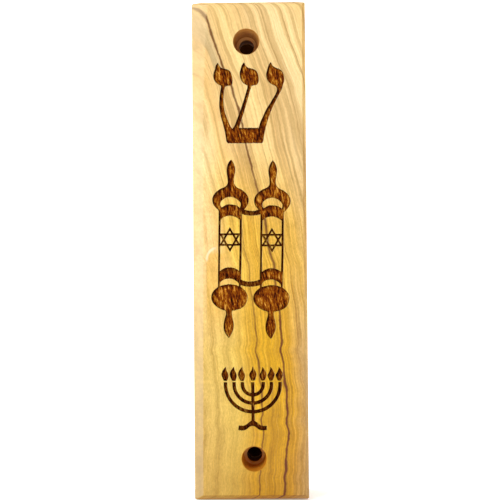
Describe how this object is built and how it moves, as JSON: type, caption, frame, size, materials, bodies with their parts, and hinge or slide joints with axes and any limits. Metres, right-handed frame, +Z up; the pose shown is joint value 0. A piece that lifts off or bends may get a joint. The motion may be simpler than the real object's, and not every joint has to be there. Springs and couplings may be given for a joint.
{
  "type": "mezuzah case",
  "caption": "Rectangular olive wood mezuzah case with an engraved front, countersunk screw holes and a scroll chamber behind a sliding lid.",
  "frame": {"origin": "centre of the wooden block, half-way through its thickness, on its long axis", "axes": "+Z up along the case on the doorpost, engraved front towards -Y, back against the doorpost towards +Y, +X to the right seen from the front"},
  "size_m": [0.0344, 0.019, 0.15],
  "materials": {
    "olive_wood": "sanded and oiled to a satin sheen, laser engraving charred dark brown",
    "olive_wood_lid": "sanded, thinly oiled, matt",
    "parchment": "matt, slightly mottled skin",
    "clear_film": "thin clear film, glossy"
  },
  "bodies": {
    "case": {"case_body": "olive_wood", "klaf_scroll": "parchment", "klaf_sleeve": "clear_film"},
    "lid": {"back_lid": "olive_wood_lid"}
  },
  "joints": [
    {"name": "lid_slide", "type": "slide", "parent": "case", "child": "lid", "axis": [0, 0, 1], "range_m": [0, 0.1345]}
  ]
}
